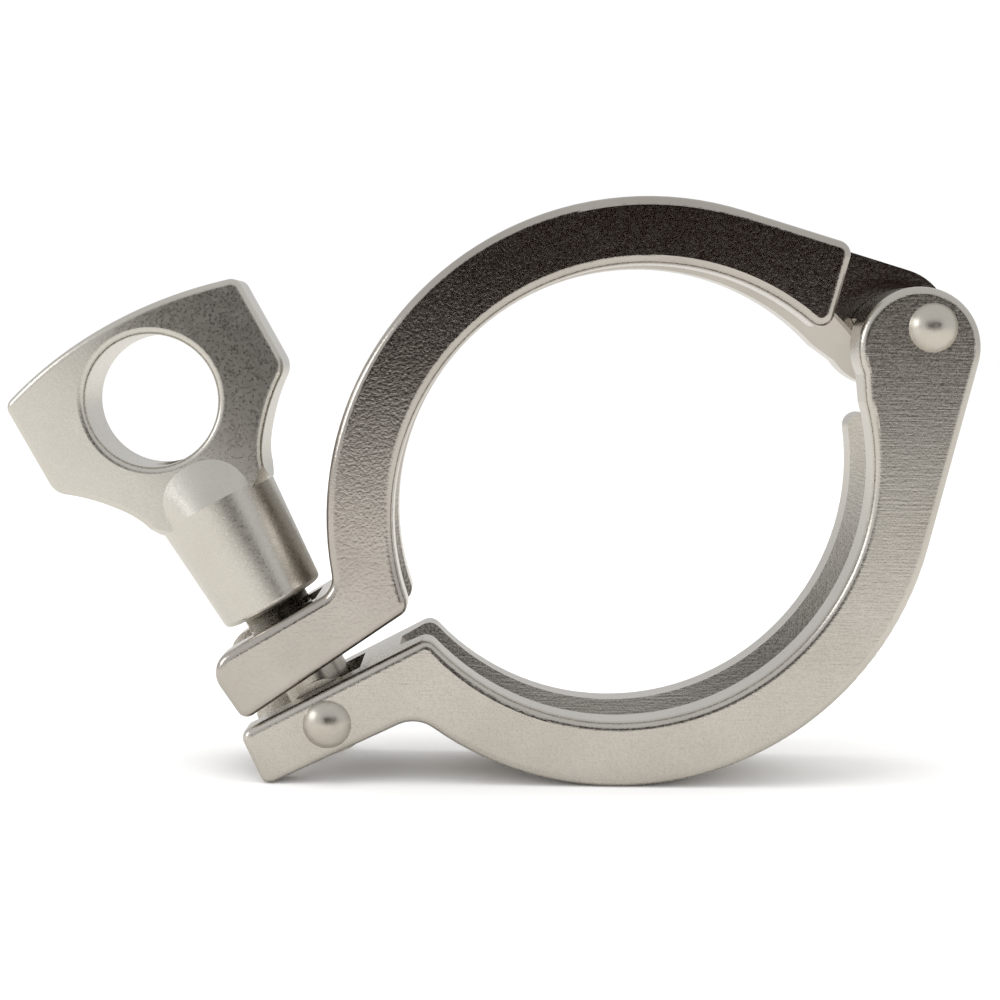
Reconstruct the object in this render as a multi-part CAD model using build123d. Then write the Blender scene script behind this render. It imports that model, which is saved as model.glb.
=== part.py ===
"""Sanitary hinged clamp, single hinge pin, closed empty with its wing nut run down.

Millimetres. +X is towards the hinge, +Y is the bore axis and +Z is up. The origin is the
centre of the lower half's bore, midway across its width. The clamp stands on the bottom of
its ring and on the tip of its lower ear, as it does on a bench.

Each half is drawn in its own plane first: u runs along the parting line towards the hinge
pin, v stands off it, on the side of that half. The two halves are the same casting but for
their ears, so the upper one is a half turned over about the parting line.
"""
from build123d import *
import os
from math import acos, asin, atan2, cos, degrees, hypot, radians, sin, tan

os.makedirs("parts", exist_ok=True)

# Ferrule seat: the 64 mm flanges of a 2 inch sanitary union sit in the groove
flange_d = 64.0
flange_clearance = 0.7         # on diameter
lip_bore_d = 57.0              # clear bore inside the lips
groove_floor_width = 5.6
groove_wall_angle = 20.0       # of each wall, from square to the axis

# Ring
ring_d = 72.0
ring_width = 17.0
edge_round = 1.0               # rounding of the cast edges

# Lapped hinge
hinge_reach = 38.3             # bore centre to hinge pin
knuckle_r = 6.9
knuckle_inset = 2.2            # knuckle centre, back from the pin
knuckle_drop = 1.55            # knuckle centre, off the parting line
knuckle_start = 9.0            # degrees below the parting line where the bore ends
lap_gap = 0.3                  # between the two lapped knuckles
shoulder_reach = 10.9          # pin to the full-width shoulder
shoulder_angle = 41.0          # shoulder to the parting line
shoulder_round = 1.6
hinge_pin_d = 4.8
hinge_pin_clearance = 0.05     # on radius, in the upper half
rivet_head_d = 5.5
rivet_head_height = 1.5
rivet_head_clearance = 0.1     # far head to the knuckle that turns under it

# Ears
lower_ear_tip = 51.6           # bore centre to the tip of the ear
upper_ear_tip = 50.6
lower_ear_face = 7.9           # parting line to the lower ear's inner face, at the bore
lower_ear_face_tip = 8.8
lower_ear_back = 15.6
lower_ear_root_round = 4.0
upper_ear_face = 6.5
upper_ear_back = 12.9          # at the ring
upper_ear_back_tip = 14.3
upper_ear_root_round = 2.6
ear_tip_round = 1.2
nut_side_round = 2.8           # tip corner that the nut passes when the bolt swings out
bore_corner_round = 1.5
slot_width = 9.2
slot_end = 36.4                # bore centre to the closed end of the slots
over_closed = 9.2              # degrees past concentric, with no ferrule in the clamp

# Eye bolt
bolt_pin_reach = 42.0          # bore centre to bolt pin, along the parting line
bolt_pin_drop = 12.0           # bolt pin below the parting line
bolt_pin_d = 4.4
bolt_pin_clearance = 0.05      # on radius, in the eye
eye_r = 4.4
eye_side_clearance = 0.3
stud_d = 7.94
stud_round = 0.8

# Wing nut
nut_gap = 1.85                 # nut to upper ear, once the nut is slacked off
thread_engaged = 17.6
thread_clearance = 0.05        # on radius
nut_base_r = 6.2
nut_neck_r = 7.2
nut_base_round = 0.7
lever_hole_d = 15.0
lever_hole_height = 27.2       # nut base to the lever hole's centre
lever_hole_round = 0.8
wing_span = 30.4
wing_top = 7.6                 # lever hole's centre to the wing's top corner
wing_crown = 9.8               # the same at mid-span
wing_foot = 3.9                # lever hole's centre down to the wing's lower corner
neck_top = 13.5                # lever hole's centre down to the neck
shoulder_height = 5.8          # the stem's taper into the wing
shoulder_spread = 1.8
shoulder_inset = 0.3
wing_flare = 0.9               # how fast the wing's root opens out of the stem's round
wing_thickness = 10.4          # at the lever hole
wing_tip_thickness = 7.4
wing_edge_round = 0.8
wing_corner_round = 1.3
wing_foot_round = 2.5

groove_d = flange_d + flange_clearance
bore_r, ring_r, groove_r = lip_bore_d / 2, ring_d / 2, groove_d / 2
half_width = ring_width / 2
knuckle_u, knuckle_v = hinge_reach - knuckle_inset, -knuckle_drop


def polar(radius, bearing):
    """Point at a radius and a bearing in degrees."""
    return radius * cos(radians(bearing)), radius * sin(radians(bearing))


def turned(point, bearing, about=(0, 0)):
    """Point turned anticlockwise by bearing degrees about another."""
    du, dv = point[0] - about[0], point[1] - about[1]
    c, s = cos(radians(bearing)), sin(radians(bearing))
    return about[0] + du * c - dv * s, about[1] + du * s + dv * c


def area(*points):
    """Face with these corners."""
    return make_face(Polyline(*points, close=True))


def corner(face, u, v, radius):
    """Face with the corner nearest to u, v rounded."""
    vertex = min(face.vertices(), key=lambda p: hypot(p.X - u, p.Y - v))
    return face.fillet_2d(radius, [vertex])


def half_outline(ear_tip, face_v, face_tip_v, back_v, back_tip_v, root_round, back_corner_round):
    """Outline of one half seen along the bore, with its knuckle and its ear."""
    # the straight flank touches the ring and the knuckle
    reach, bearing = hypot(knuckle_u, knuckle_v), degrees(atan2(knuckle_v, knuckle_u))
    flank = bearing - degrees(acos((ring_r - knuckle_r) / reach))
    flank_u, flank_v = polar(knuckle_r, flank)
    bore_end = polar(bore_r, -knuckle_start)
    mouth = -(bore_r ** 2 - face_v ** 2) ** 0.5, face_v
    face_tip, back_tip = (-ear_tip, face_tip_v), (-ear_tip, back_tip_v)
    far = 2 * ring_r
    sector = area((0, 0), mouth, face_tip, (-far, face_tip_v), (-far, -far), (far, -far),
                  polar(far, -knuckle_start))
    ring = Circle(ring_r) - Circle(bore_r)
    knuckle = Pos(knuckle_u, knuckle_v) * Circle(knuckle_r)
    web = area(bore_end, (knuckle_u - knuckle_r, knuckle_v), (knuckle_u, knuckle_v),
               (knuckle_u + flank_u, knuckle_v + flank_v), polar(ring_r, flank))
    ear = area(mouth, face_tip, back_tip, (-bore_r - 2, back_v), (-bore_r, back_v))
    outline = ((ring & sector) + knuckle + web + ear).face()
    root_u = -(ring_r ** 2 - back_v ** 2) ** 0.5
    outline = corner(outline, root_u, back_v, root_round)
    outline = corner(outline, -ear_tip, back_tip_v, back_corner_round)
    outline = corner(outline, -ear_tip, face_tip_v, ear_tip_round)
    return corner(outline, *mouth, bore_corner_round)


def full_width(outline):
    """The part of an outline on the ring's side of the shoulder, with its corners rounded."""
    along = Vector(*polar(1, -shoulder_angle))
    square = Vector(*polar(1, -shoulder_angle - 90))
    foot = Vector(hinge_reach, 0) + square * shoulder_reach
    far = 2 * ring_r
    kept = area(*((foot + along * i + square * j)
                  for i, j in ((-far, 0), (far, 0), (far, 2 * far), (-far, 2 * far))))
    body = (outline & kept).face()
    for vertex in body.vertices().sort_by(lambda p: abs((Vector(p) - foot).dot(square)))[:2]:
        body = corner(body, vertex.X, vertex.Y, shoulder_round)
    return body


def slab(outline, near_y, far_y, rounded_y):
    """Plate between two depths, with the edges of one of its faces rounded."""
    plate = extrude(Plane.XZ.offset(-far_y) * outline, amount=far_y - near_y)
    edges = plate.edges().filter_by_position(Axis.Y, rounded_y - 0.01, rounded_y + 0.01)
    return fillet(edges, edge_round)


def clamp_half(pin_hole_d, *ear):
    """One half, with its full-width body on the far side of its knuckle."""
    outline = half_outline(*ear)
    body = full_width(outline)
    near = slab(outline, -half_width, -lap_gap / 2, -half_width)
    far = slab(body, -half_width + 2 * edge_round, half_width, half_width)
    half = near + far
    # tapered groove for the flanges
    mouth_r = bore_r - 1
    floor_y = groove_floor_width / 2
    mouth_y = floor_y + (groove_r - mouth_r) * tan(radians(groove_wall_angle))
    section = Plane.YZ * area((-floor_y, groove_r), (floor_y, groove_r), (mouth_y, mouth_r),
                              (-mouth_y, mouth_r))
    half -= revolve(section, Axis.Y)
    # slot that lets the bolt swing out past the tip
    half -= Pos(-slot_end - ring_d, 0, 0) * Box(2 * ring_d, slot_width, 2 * ring_d)
    half -= Pos(hinge_reach, 0, 0) * Rot(90, 0, 0) * Cylinder(pin_hole_d / 2, 2 * ring_width)
    return half


def rivet(shank_d, far_clearance):
    """Rivet along Y, with a domed head on each face of the clamp."""
    cap_r = (rivet_head_d ** 2 / 4 + rivet_head_height ** 2) / (2 * rivet_head_height)
    shank = Rot(90, 0, 0) * Cylinder(shank_d / 2, ring_width + 2 * far_clearance)
    pin = shank
    for side in (-1, 1):
        seat = half_width + (far_clearance if side > 0 else 0)
        ball = Pos(0, side * (seat + rivet_head_height - cap_r), 0) * Sphere(cap_r)
        keep = Pos(0, side * (seat + rivet_head_height), 0) * Box(
            2 * rivet_head_d, 2 * rivet_head_height, 2 * rivet_head_d)
        pin += ball & keep
    return pin


# The lower half stands on its ring and on the rounded tip of its ear
tip_u, tip_v = -lower_ear_tip + ear_tip_round, -lower_ear_back + ear_tip_round
parting_bearing = degrees(asin((ring_r - ear_tip_round) / hypot(tip_u, tip_v))
                          - atan2(-tip_v, -tip_u))
stand = Rot(0, -parting_bearing, 0)
close = Pos(hinge_reach, 0, 0) * Rot(0, -over_closed, 0) * Pos(-hinge_reach, 0, 0)

lower_half = clamp_half(hinge_pin_d, lower_ear_tip, -lower_ear_face, -lower_ear_face_tip,
                        -lower_ear_back, -lower_ear_back, lower_ear_root_round, ear_tip_round)
bolt_pin_place = Pos(-bolt_pin_reach, 0, -bolt_pin_drop)
lower_half -= bolt_pin_place * Rot(90, 0, 0) * Cylinder(bolt_pin_d / 2, 2 * ring_width)
upper_half = clamp_half(hinge_pin_d + 2 * hinge_pin_clearance, upper_ear_tip, -upper_ear_face,
                        -upper_ear_face, -upper_ear_back, -upper_ear_back_tip,
                        upper_ear_root_round, nut_side_round)
hinge_pin = Pos(hinge_reach, 0, 0) * rivet(hinge_pin_d, rivet_head_clearance)
bolt_pin = bolt_pin_place * rivet(bolt_pin_d, 0)

# The bolt stands square to the back of the closed upper ear, where the nut seats
back_root = turned((-ring_r, upper_ear_back), over_closed, (hinge_reach, 0))
back_tip = turned((-upper_ear_tip, upper_ear_back_tip), over_closed, (hinge_reach, 0))
back_bearing = degrees(atan2(back_root[1] - back_tip[1], back_root[0] - back_tip[0]))
square_u, square_v = polar(1, back_bearing + 90)
seat_height = ((back_tip[0] + bolt_pin_reach) * square_u
               + (back_tip[1] + bolt_pin_drop) * square_v)
bolt_place = bolt_pin_place * Rot(0, -back_bearing, 0)

# Eye bolt, upright on its pin
nut_base = seat_height + nut_gap
stud_length = nut_base + thread_engaged
eye_width = slot_width - 2 * eye_side_clearance
eye = Rot(90, 0, 0) * Cylinder(eye_r, eye_width)
stud = Pos(0, 0, stud_length / 2) * Cylinder(stud_d / 2, stud_length)
stud = chamfer(stud.edges().sort_by(Axis.Z)[-1], stud_round)
eye_bolt = eye + stud - Rot(90, 0, 0) * Cylinder(
    bolt_pin_d / 2 + bolt_pin_clearance, 2 * ring_width)

# Wing nut, with its base at Z = 0
span = wing_span / 2
top_z, crown_z = lever_hole_height + wing_top, lever_hole_height + wing_crown
foot_z, neck_z = lever_hole_height - wing_foot, lever_hole_height - neck_top
crown = ThreePointArc((-span, top_z), (0, crown_z), (span, top_z))
right = Polyline((span, top_z), (span, foot_z))
right_sweep = Spline((span, foot_z), (nut_neck_r + 2.4, neck_z + 4.6), (nut_neck_r, neck_z - 0.6),
                     tangents=((-1, -0.62), (-0.1, -1)))
neck = Polyline((nut_neck_r, neck_z - 0.6), (-nut_neck_r, neck_z - 0.6))
left_sweep = mirror(right_sweep, about=Plane.YZ)
left = Polyline((-span, foot_z), (-span, top_z))
wing_face = make_face(Curve() + [crown, right, right_sweep, neck, left_sweep, left]).face()
for side in (-1, 1):
    wing_face = corner(wing_face, side * span, top_z, wing_corner_round)
    wing_face = corner(wing_face, side * span, foot_z, wing_foot_round)
wing = extrude(Plane.XZ * wing_face, amount=wing_thickness, both=True)
# the wings thin towards their tips
front = ThreePointArc((-span, -wing_tip_thickness / 2), (0, -wing_thickness / 2),
                      (span, -wing_tip_thickness / 2))
ends = [Line(front @ 1, (span, wing_tip_thickness / 2)),
        Line((-span, wing_tip_thickness / 2), front @ 0)]
wing &= extrude(make_face(Curve() + [front, mirror(front, about=Plane.XZ), *ends]),
                amount=2 * crown_z)
lever_hole = Pos(0, 0, lever_hole_height) * Rot(90, 0, 0) * Cylinder(
    lever_hole_d / 2, 2 * wing_thickness)
wing -= lever_hole
hole_rims = [e for e in wing.edges() if e.length > 2 * lever_hole_d and abs(
    hypot((e @ 0.3).X, (e @ 0.3).Z - lever_hole_height) - lever_hole_d / 2) < 0.01]
wing = fillet(hole_rims, lever_hole_round)
rims = [e for e in wing.edges() if e.center().Z > neck_z and abs((e @ 0).Y - (e @ 1).Y) < 3
        and hypot((e @ 0.3).X, (e @ 0.3).Z - lever_hole_height) > lever_hole_d / 2 + 1.5]
wing = fillet(rims, wing_edge_round)
root_z = neck_z - 0.6
wing &= Pos(0, 0, root_z) * Cone(
    nut_neck_r + 0.05, nut_neck_r + 0.05 + wing_flare * crown_z, crown_z,
    align=(Align.CENTER, Align.CENTER, Align.MIN))
stem = Cone(nut_base_r, nut_neck_r, neck_z, align=(Align.CENTER, Align.CENTER, Align.MIN))
stem = fillet(stem.edges().sort_by(Axis.Z)[0], nut_base_round)
shoulder = loft([Plane.XY.offset(neck_z) * Circle(nut_neck_r),
                 Plane.XY.offset(neck_z + shoulder_height)
                 * Ellipse(nut_neck_r + shoulder_spread, wing_thickness / 2 - shoulder_inset)])
wing_nut = wing + stem + shoulder - lever_hole
wing_nut -= Pos(0, 0, lever_hole_height / 2) * Cylinder(
    stud_d / 2 + thread_clearance, lever_hole_height)

pieces = {
    "lower_half": stand * lower_half,
    "upper_half": stand * close * Rot(180, 0, 0) * upper_half,
    "hinge_pin": stand * hinge_pin,
    "bolt_pin": stand * bolt_pin,
    "eye_bolt": stand * bolt_place * eye_bolt,
    "wing_nut": stand * bolt_place * Pos(0, 0, nut_base) * wing_nut,
}
for name, piece in pieces.items():
    solid = piece.solid()
    solid.label = name
    export_step(solid, f"parts/{name}.step")
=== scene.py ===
"""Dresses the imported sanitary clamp: cast and turned stainless steel on a white table."""
import math

import bmesh
import bpy
from mathutils import Matrix, Vector


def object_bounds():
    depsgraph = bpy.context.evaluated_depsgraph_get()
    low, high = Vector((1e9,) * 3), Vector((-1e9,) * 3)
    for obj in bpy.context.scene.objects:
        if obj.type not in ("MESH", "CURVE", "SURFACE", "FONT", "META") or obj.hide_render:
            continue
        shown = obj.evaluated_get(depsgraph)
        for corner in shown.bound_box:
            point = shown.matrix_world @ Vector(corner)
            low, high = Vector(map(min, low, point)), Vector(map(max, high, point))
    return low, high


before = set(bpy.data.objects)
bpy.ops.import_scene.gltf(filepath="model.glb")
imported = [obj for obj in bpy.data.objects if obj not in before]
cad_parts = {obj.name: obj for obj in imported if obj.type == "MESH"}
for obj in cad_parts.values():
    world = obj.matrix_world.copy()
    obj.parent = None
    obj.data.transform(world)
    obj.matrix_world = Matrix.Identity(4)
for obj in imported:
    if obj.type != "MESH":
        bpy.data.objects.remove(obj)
low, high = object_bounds()

MM = 0.001
FLOOR_Z = low[2]

# Swing bolt: its pin, its axis, and where along it the thread starts
BOLT_PIN = Vector((-32.665, 0, -29.0)) * MM
BOLT_AXIS = Vector((-0.490538, 0, 0.87142))
THREAD_START = 6.5 * MM
THREAD_PITCH = 1.41 * MM

# Camera, low in front of the clamp
CAMERA_AT = Vector((-15.43, -195.4, 14.75)) * MM
AIM_AT = Vector((-13.4, -8.5, -3.23)) * MM
CAMERA_ROLL = math.radians(0.75)
LENS_MM, SENSOR_MM = 60.4, 36.0


def linear(hex_colour):
    """Linear RGBA of an sRGB hex colour."""
    values = [int(hex_colour[i:i + 2], 16) / 255 for i in (1, 3, 5)]
    return (*[v / 12.92 if v <= 0.04045 else ((v + 0.055) / 1.055) ** 2.4 for v in values], 1)


def node(tree, kind, links=(), **settings):
    """Adds a node, sets its sockets and properties, and links its inputs."""
    made = tree.nodes.new(kind)
    for name, value in settings.items():
        if hasattr(made, name):
            setattr(made, name, value)
        else:
            made.inputs[name.replace("_", " ")].default_value = value
    for socket, source in dict(links).items():
        tree.links.new(source, made.inputs[socket])
    return made


def thread_height(tree, place):
    """Height in metres of a V thread along the bolt's stud, flat on its eye."""
    from_pin = node(tree, "ShaderNodeVectorMath", {0: place}, operation="SUBTRACT")
    from_pin.inputs[1].default_value = BOLT_PIN
    along = node(tree, "ShaderNodeVectorMath", {0: from_pin.outputs["Vector"]},
                 operation="DOT_PRODUCT")
    along.inputs[1].default_value = BOLT_AXIS
    flank = node(tree, "ShaderNodeMath", {0: along.outputs["Value"]}, operation="PINGPONG")
    flank.inputs[1].default_value = THREAD_PITCH / 2
    stud = node(tree, "ShaderNodeMath", {0: along.outputs["Value"]}, operation="GREATER_THAN")
    stud.inputs[1].default_value = THREAD_START
    height = node(tree, "ShaderNodeMath", {0: flank.outputs["Value"], 1: stud.outputs["Value"]},
                  operation="MULTIPLY")
    return height.outputs["Value"]


def steel(name, colour, stain, roughness, grain_mm, grain_depth_mm, lay_depth_mm=0.0,
          threaded=False):
    """Stainless steel with a grain of a real size, and lay lines or a thread where they show."""
    material = bpy.data.materials.new(name)
    material.use_nodes = True
    tree = material.node_tree
    tree.nodes.clear()
    place = node(tree, "ShaderNodeTexCoord").outputs["Object"]
    cloud = node(tree, "ShaderNodeTexNoise", {"Vector": place}, Scale=1 / (9 * MM), Detail=4.0)
    tint = node(tree, "ShaderNodeMix", {"Factor": cloud.outputs["Fac"]}, data_type="RGBA")
    tint.inputs[6].default_value = linear(colour)
    tint.inputs[7].default_value = linear(stain)
    grain = node(tree, "ShaderNodeTexNoise", {"Vector": place}, Scale=1 / (grain_mm * MM),
                 Detail=3.0, Roughness=0.6)
    patch = node(tree, "ShaderNodeMapRange", {"Value": grain.outputs["Fac"]},
                 From_Min=0.35, From_Max=0.65, To_Min=roughness * 0.85, To_Max=roughness * 1.2)
    bump = node(tree, "ShaderNodeBump", {"Height": grain.outputs["Fac"]}, Strength=1.0,
                Distance=grain_depth_mm * MM)
    if lay_depth_mm:
        stretch = node(tree, "ShaderNodeMapping", {"Vector": place}, Scale=(0.06, 1.0, 1.0))
        lines = node(tree, "ShaderNodeTexNoise", {"Vector": stretch.outputs["Vector"]},
                     Scale=1 / (0.25 * MM), Detail=2.0)
        bump = node(tree, "ShaderNodeBump", {"Height": lines.outputs["Fac"],
                                             "Normal": bump.outputs["Normal"]},
                    Strength=1.0, Distance=lay_depth_mm * MM)
    if threaded:
        bump = node(tree, "ShaderNodeBump", {"Height": thread_height(tree, place),
                                             "Normal": bump.outputs["Normal"]},
                    Strength=1.0, Distance=1.0)
    shader = node(tree, "ShaderNodeBsdfPrincipled",
                  {"Base Color": tint.outputs[2], "Roughness": patch.outputs["Result"],
                   "Normal": bump.outputs["Normal"]}, Metallic=1.0)
    node(tree, "ShaderNodeOutputMaterial", {"Surface": shader.outputs["BSDF"]})
    return material


def plain(name, colour, seen_in_metal=None, glow=0.0):
    """Matt paper, or a lit panel where glow is given; the metal may mirror it in another colour."""
    material = bpy.data.materials.new(name)
    material.use_nodes = True
    tree = material.node_tree
    tree.nodes.clear()
    if glow:
        shader = node(tree, "ShaderNodeEmission", Color=linear(colour), Strength=glow)
    else:
        rays = node(tree, "ShaderNodeLightPath")
        shade = node(tree, "ShaderNodeMix", {"Factor": rays.outputs["Is Glossy Ray"]},
                     data_type="RGBA")
        shade.inputs[6].default_value = linear(colour)
        shade.inputs[7].default_value = linear(seen_in_metal or colour)
        shader = node(tree, "ShaderNodeBsdfDiffuse", {"Color": shade.outputs[2]})
    node(tree, "ShaderNodeOutputMaterial", {"Surface": shader.outputs[0]})
    return material


# Investment castings in stainless steel, tumbled after casting: a satin surface over a fine
# sand-like grain. The lower half has been passed over a belt, so it has lay lines too.
TUMBLED = steel("tumbled_cast_stainless", "#c6c1ba", "#a8a29b", 0.17, 0.35, 0.022)
BELT_GROUND = steel("belt_ground_cast_stainless", "#cfcbc4", "#b9b4ac", 0.25, 0.3, 0.014, 0.014)
# The wing nut is blasted finer and buffed on its high spots.
BLASTED = steel("fine_blasted_cast_stainless", "#d4d1ca", "#c3bfb7", 0.3, 0.3, 0.012)
# Headed rivets, smooth from the die.
RIVET = steel("headed_rivet_stainless", "#cdc9c0", "#bfbab0", 0.32, 0.6, 0.004)
# Turned bolt with a rolled thread, drawn as relief.
TURNED = steel("turned_stainless", "#bcb7ae", "#aaa49b", 0.25, 0.2, 0.006, threaded=True)

FINISH = {"lower_half": BELT_GROUND, "upper_half": TUMBLED, "wing_nut": BLASTED,
          "hinge_pin": RIVET, "bolt_pin": RIVET, "eye_bolt": TURNED}
for name, material in FINISH.items():
    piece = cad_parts[name]
    piece.data.materials.clear()
    piece.data.materials.append(material)


def card(name, corners, material, camera=False):
    """Flat stage card through four corners in metres."""
    mesh = bpy.data.meshes.new(name)
    mesh.from_pydata(corners, [], [(0, 1, 2, 3)])
    made = bpy.data.objects.new(name, mesh)
    bpy.context.scene.collection.objects.link(made)
    mesh.materials.append(material)
    made.visible_camera = camera
    made.visible_shadow = camera
    made.visible_diffuse = camera


# The table is white, and a little greyer where the metal mirrors it.
PAPER = plain("white_paper", "#ffffff", seen_in_metal="#e9e7e3")
DARK_ROOM = plain("dark_brown_room", "#2b1a16", glow=0.7)
TABLE = 6.0
ROOM_LEFT, ROOM_RIGHT, ROOM_TOP = -0.19, 0.34, 0.21
card("table", [(-TABLE, -TABLE, FLOOR_Z), (TABLE, -TABLE, FLOOR_Z), (TABLE, TABLE, FLOOR_Z),
               (-TABLE, TABLE, FLOOR_Z)], PAPER, camera=True)
# The unlit room in front of the clamp, which its upper faces mirror
card("room", [(ROOM_LEFT, -0.5, FLOOR_Z), (ROOM_RIGHT, -0.5, FLOOR_Z),
              (ROOM_RIGHT, -0.46, ROOM_TOP), (ROOM_LEFT, -0.46, ROOM_TOP)], DARK_ROOM)

SKY, SKY_IN_METAL = 1.02, 0.75
world = bpy.data.worlds.new("white")
bpy.context.scene.world = world
world.use_nodes = True
sky = world.node_tree
sky.nodes.clear()
# The sky is white, and dimmer where the metal mirrors it.
rays = node(sky, "ShaderNodeLightPath")
strength = node(sky, "ShaderNodeMapRange", {"Value": rays.outputs["Is Glossy Ray"]},
                To_Min=SKY, To_Max=SKY_IN_METAL)
background = node(sky, "ShaderNodeBackground", {"Strength": strength.outputs["Result"]},
                  Color=linear("#ffffff"))
node(sky, "ShaderNodeOutputWorld", {"Surface": background.outputs["Background"]})


def area_light(name, at, size, watts, mirrored=True):
    """Square soft box aimed at the clamp; where it isn't mirrored, no metal shows it."""
    lamp = bpy.data.lights.new(name, "AREA")
    lamp.size, lamp.energy = size, watts
    made = bpy.data.objects.new(name, lamp)
    made.location = at
    made.rotation_euler = (-Vector(at)).to_track_quat("-Z", "Y").to_euler()
    made.visible_glossy = mirrored
    bpy.context.scene.collection.objects.link(made)


area_light("overhead", (-0.1, -0.1, 0.7), 0.5, 2.0, mirrored=False)
area_light("side", (-0.7, -0.25, 0.25), 0.3, 0.8)

camera = bpy.data.cameras.new("camera")
camera.lens, camera.sensor_width = LENS_MM, SENSOR_MM
eye = bpy.data.objects.new("camera", camera)
aim = (AIM_AT - CAMERA_AT).normalized()
facing = aim.to_track_quat("-Z", "Y").to_matrix().to_4x4()
eye.matrix_world = (Matrix.Translation(CAMERA_AT) @ facing
                    @ Matrix.Rotation(CAMERA_ROLL, 4, "Z"))
bpy.context.scene.collection.objects.link(eye)
bpy.context.scene.camera = eye
bpy.context.scene.view_settings.view_transform = "Standard"
